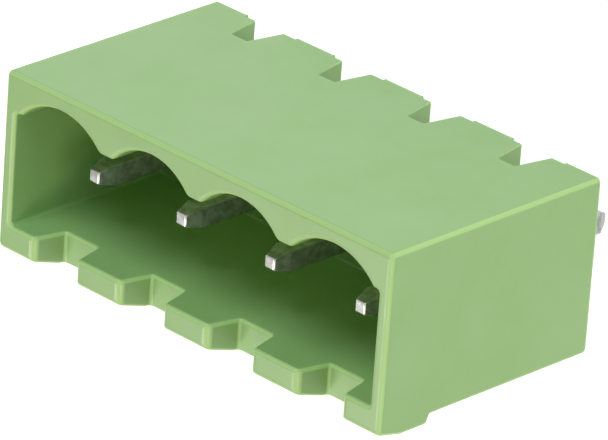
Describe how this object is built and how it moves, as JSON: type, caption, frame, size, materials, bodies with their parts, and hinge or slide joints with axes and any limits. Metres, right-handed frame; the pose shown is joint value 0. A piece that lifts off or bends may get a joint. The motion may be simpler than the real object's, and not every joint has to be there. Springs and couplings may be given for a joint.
{
  "type": "pluggable terminal block header",
  "caption": "Straight board header for a pluggable terminal block: a moulded housing, closed at both ends, with scalloped key wall, notched latch lip and a row of square pins.",
  "frame": {"origin": "middle of the pin row, on the plane of the circuit board that the housing's feet stand on", "axes": "+X along the pin row, +Y towards the scalloped key wall, +Z out of the mouth, the way the plug is pulled off"},
  "size_m": [0.022, 0.0082, 0.016],
  "materials": {
    "housing": "satin moulded plastic, pale green",
    "pins": "bright tin plating over copper alloy"
  },
  "bodies": {
    "root": {"housing": "housing", "pin_1": "pins", "pin_2": "pins", "pin_3": "pins", "pin_4": "pins"}
  },
  "joints": []
}
